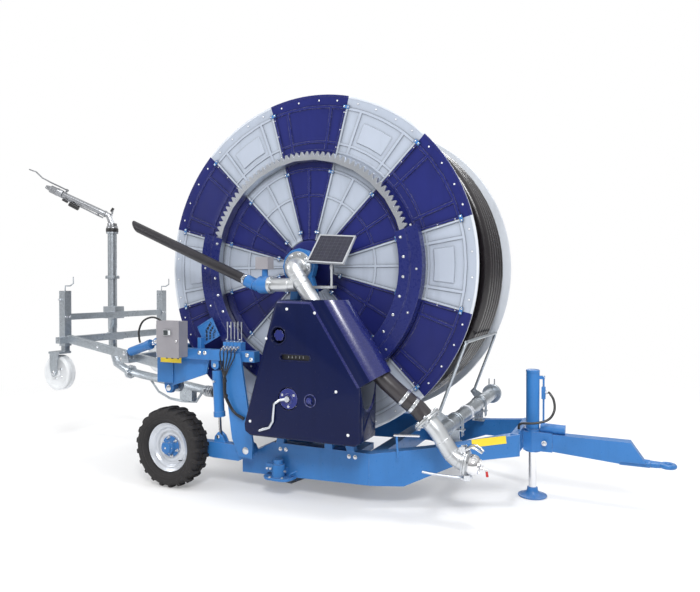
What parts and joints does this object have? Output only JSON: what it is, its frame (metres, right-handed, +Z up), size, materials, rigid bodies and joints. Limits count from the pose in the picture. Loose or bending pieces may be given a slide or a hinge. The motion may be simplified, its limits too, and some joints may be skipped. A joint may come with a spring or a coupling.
{
  "type": "hose reel irrigator",
  "caption": "Towed hose reel irrigator: large drum on a slewing chassis, wheel lift arms, drawbar with jack, and a lifted gun cart with its sprinkler gun.",
  "frame": {"origin": "on the ground under the drum axle, on the underside of the slewing base", "axes": "+X along the machine towards the drawbar, -Y towards the hood side, +Z up"},
  "size_m": [7.1543, 2.5373, 3.707],
  "materials": {
    "blue_paint": "satin blue paint",
    "navy_paint": "moulded dark blue",
    "galvanised": "hot-dip galvanised",
    "zinc": "zinc plated",
    "chrome": "polished",
    "hose_black": "smooth black",
    "tyre_black": "rubber",
    "rim_silver": "silver paint",
    "box_grey": "grey paint",
    "wheel_white": "moulded white",
    "panel_dark": "dark panel",
    "gun_alloy": "cast"
  },
  "bodies": {
    "chassis": {"chassis_frame": "blue_paint", "drum_stand_front": "blue_paint", "drum_stand_rear": "blue_paint", "ring_guard": "navy_paint", "hood": "navy_paint", "gearbox": "blue_paint", "inlet_pipe": "zinc", "supply_hose": "hose_black", "inlet_manifold": "galvanised", "bypass_valve": "blue_paint", "discharge_pipe": "hose_black", "slew_motor": "blue_paint", "control_box": "box_grey", "solar_panel": "panel_dark", "valve_block": "blue_paint", "drawbar": "blue_paint", "jack_hose": "hose_black", "lift_hose": "hose_black", "valve_hoses": "hose_black", "hose_lead": "hose_black"},
    "base": {"slew_base": "galvanised"},
    "drum": {"drum_core": "hose_black", "front_flange": "blue_paint", "rear_flange": "blue_paint", "ring_gear": "zinc", "hose_winding": "hose_black"},
    "pinion": {"drive_pinion": "zinc"},
    "guide": {"hose_guide": "blue_paint"},
    "arm_near": {"wheel_arm_near": "blue_paint"},
    "arm_far": {"wheel_arm_far": "blue_paint"},
    "wheel_near": {"tyre_near": "tyre_black", "wheel_rim_near": "rim_silver"},
    "wheel_far": {"tyre_far": "tyre_black", "wheel_rim_far": "rim_silver"},
    "ram_near": {"arm_cylinder_near": "blue_paint"},
    "ram_far": {"arm_cylinder_far": "blue_paint"},
    "ram_rod_near": {"arm_rod_near": "chrome"},
    "ram_rod_far": {"arm_rod_far": "chrome"},
    "jack": {"jack_leg": "chrome"},
    "hitch": {"hitch_ring": "blue_paint"},
    "bail": {"winding_bail": "galvanised"},
    "crank": {"crank_handle": "zinc"},
    "selector": {"selector_knob": "navy_paint"},
    "door": {"control_door": "box_grey"},
    "lever": {"coupling_lever": "zinc"},
    "lift": {"lift_arm": "galvanised", "cart_frame": "galvanised"},
    "lift_ram": {"lift_cylinder": "blue_paint"},
    "lift_ram_rod": {"lift_rod": "chrome"},
    "leg_near": {"cart_leg_near": "galvanised"},
    "leg_far": {"cart_leg_far": "galvanised"},
    "cart_wheel_near": {"cart_wheel_near": "wheel_white"},
    "cart_wheel_far": {"cart_wheel_far": "wheel_white"},
    "gun": {"gun": "gun_alloy"},
    "gun_arm": {"gun_drive_arm": "gun_alloy"},
    "valve_1": {"valve_lever_1": "zinc"},
    "valve_2": {"valve_lever_2": "zinc"},
    "valve_3": {"valve_lever_3": "zinc"},
    "valve_4": {"valve_lever_4": "zinc"},
    "valve_5": {"valve_lever_5": "zinc"}
  },
  "joints": [
    {"name": "drum_spin", "type": "hinge", "parent": "chassis", "child": "drum", "pos_m": [0, 0, 2.107], "axis": [0, 1, 0], "continuous": true, "deforming": ["hose_lead"]},
    {"name": "pinion_spin", "type": "hinge", "parent": "chassis", "child": "pinion", "pos_m": [0, -0.82, 0.9586], "axis": [0, 1, 0], "continuous": true},
    {"name": "guide_slide", "type": "slide", "parent": "chassis", "child": "guide", "axis": [0, 1, 0], "range_m": [-0.6, 0.6], "deforming": ["hose_lead"]},
    {"name": "slew", "type": "hinge", "parent": "chassis", "child": "base", "pos_m": [-0.3, 0, 0.1], "axis": [0, 0, 1], "continuous": true},
    {"name": "jack_slide", "type": "slide", "parent": "chassis", "child": "jack", "axis": [0, 0, 1], "range_m": [-0.1, 0.3]},
    {"name": "hitch_swivel", "type": "hinge", "parent": "chassis", "child": "hitch", "pos_m": [2.8, 0, 0.41], "axis": [1, 0, 0], "continuous": true},
    {"name": "bail_hinge", "type": "hinge", "parent": "chassis", "child": "bail", "pos_m": [1.22931, 0, 0.81299], "axis": [0, 1, 0], "range_deg": [0, 20], "stiffness_Nm_per_rad": 20, "springref_deg": -22.92},
    {"name": "crank_turn", "type": "hinge", "parent": "chassis", "child": "crank", "pos_m": [0.072, -1.25, 0.957], "axis": [0, 1, 0], "continuous": true},
    {"name": "selector_turn", "type": "hinge", "parent": "chassis", "child": "selector", "pos_m": [-0.028, -1.2, 1.5], "axis": [0, 1, 0], "range_deg": [-45, 45]},
    {"name": "door_hinge", "type": "hinge", "parent": "chassis", "child": "door", "pos_m": [-1.464, -1.1503, 1.4], "axis": [0, 0, 1], "range_deg": [-110, 0]},
    {"name": "lever_hinge", "type": "hinge", "parent": "chassis", "child": "lever", "pos_m": [1.552, -0.98, 0.3915], "axis": [0, 1, 0], "range_deg": [-90, 0]},
    {"name": "arm_near_hinge", "type": "hinge", "parent": "chassis", "child": "arm_near", "pos_m": [-0.5, -0.985, 0.4], "axis": [0, 1, 0], "range_deg": [-14, 8]},
    {"name": "wheel_near_spin", "type": "hinge", "parent": "arm_near", "child": "wheel_near", "pos_m": [-1.282, -1.1505, 0.3835], "axis": [0, 1, 0], "continuous": true},
    {"name": "ram_near_hinge", "type": "hinge", "parent": "chassis", "child": "ram_near", "pos_m": [-0.875, -0.985, 1.17], "axis": [0, 1, 0], "range_deg": [-2.5, 3]},
    {"name": "ram_near_slide", "type": "slide", "parent": "ram_near", "child": "ram_rod_near", "axis": [0.0587, 0, -0.9983], "range_m": [-0.05, 0.09]},
    {"name": "arm_far_hinge", "type": "hinge", "parent": "chassis", "child": "arm_far", "pos_m": [-0.5, 0.985, 0.4], "axis": [0, 1, 0], "range_deg": [-14, 8]},
    {"name": "wheel_far_spin", "type": "hinge", "parent": "arm_far", "child": "wheel_far", "pos_m": [-1.282, 1.1505, 0.3835], "axis": [0, 1, 0], "continuous": true},
    {"name": "ram_far_hinge", "type": "hinge", "parent": "chassis", "child": "ram_far", "pos_m": [-0.875, 0.985, 1.17], "axis": [0, 1, 0], "range_deg": [-2.5, 3]},
    {"name": "ram_far_slide", "type": "slide", "parent": "ram_far", "child": "ram_rod_far", "axis": [0.0587, 0, -0.9983], "range_m": [-0.05, 0.09]},
    {"name": "lift_hinge", "type": "hinge", "parent": "chassis", "child": "lift", "pos_m": [-1.5, 0, 0.9], "axis": [0, 1, 0], "range_deg": [-23, 2], "deforming": ["hose_lead", "lift_hose"]},
    {"name": "lift_ram_hinge", "type": "hinge", "parent": "lift", "child": "lift_ram", "pos_m": [-2.08, -0.925, 1.225], "axis": [0, 1, 0], "range_deg": [-1, 4]},
    {"name": "lift_ram_slide", "type": "slide", "parent": "lift_ram", "child": "lift_ram_rod", "axis": [0.9498, 0, 0.3129], "range_m": [-0.03, 0.2]},
    {"name": "gun_turn", "type": "hinge", "parent": "lift", "child": "gun", "pos_m": [-3.24, 0, 2.62], "axis": [0, 0, 1], "range_deg": [-110, 110]},
    {"name": "gun_arm_hinge", "type": "hinge", "parent": "gun", "child": "gun_arm", "pos_m": [-3.67606, -0.30533, 3.13546], "axis": [-0.5736, 0.8192, 0], "range_deg": [-3, 15]},
    {"name": "leg_near_slide", "type": "slide", "parent": "lift", "child": "leg_near", "axis": [0, 0, 1], "range_m": [-0.2, 0.05]},
    {"name": "cart_wheel_near_spin", "type": "hinge", "parent": "leg_near", "child": "cart_wheel_near", "pos_m": [-3.2, -0.825, 0.945], "axis": [0, 1, 0], "continuous": true},
    {"name": "leg_far_slide", "type": "slide", "parent": "lift", "child": "leg_far", "axis": [0, 0, 1], "range_m": [-0.2, 0.05]},
    {"name": "cart_wheel_far_spin", "type": "hinge", "parent": "leg_far", "child": "cart_wheel_far", "pos_m": [-3.2, 0.825, 0.945], "axis": [0, 1, 0], "continuous": true},
    {"name": "valve_1_hinge", "type": "hinge", "parent": "chassis", "child": "valve_1", "pos_m": [-0.75, -0.985, 1.4123], "axis": [1, 0, 0], "range_deg": [-15, 15], "stiffness_Nm_per_rad": 2},
    {"name": "valve_2_hinge", "type": "hinge", "parent": "chassis", "child": "valve_2", "pos_m": [-0.71, -0.985, 1.4123], "axis": [1, 0, 0], "range_deg": [-15, 15], "stiffness_Nm_per_rad": 2},
    {"name": "valve_3_hinge", "type": "hinge", "parent": "chassis", "child": "valve_3", "pos_m": [-0.67, -0.985, 1.4123], "axis": [1, 0, 0], "range_deg": [-15, 15], "stiffness_Nm_per_rad": 2},
    {"name": "valve_4_hinge", "type": "hinge", "parent": "chassis", "child": "valve_4", "pos_m": [-0.63, -0.985, 1.4123], "axis": [1, 0, 0], "range_deg": [-15, 15], "stiffness_Nm_per_rad": 2},
    {"name": "valve_5_hinge", "type": "hinge", "parent": "chassis", "child": "valve_5", "pos_m": [-0.59, -0.985, 1.4123], "axis": [1, 0, 0], "range_deg": [-15, 15], "stiffness_Nm_per_rad": 2}
  ],
  "couplings": [
    {"joint": "pinion_spin", "follows": "drum_spin", "ratio": -10},
    {"joint": "ram_near_hinge", "follows": "arm_near_hinge", "ratio": -0.13},
    {"joint": "ram_near_slide", "follows": "arm_near_hinge", "m_per_rad": -0.33},
    {"joint": "ram_far_hinge", "follows": "arm_far_hinge", "ratio": -0.13},
    {"joint": "ram_far_slide", "follows": "arm_far_hinge", "m_per_rad": -0.33},
    {"joint": "lift_ram_hinge", "follows": "lift_hinge", "ratio": -0.149},
    {"joint": "lift_ram_slide", "follows": "lift_hinge", "m_per_rad": -0.481}
  ]
}
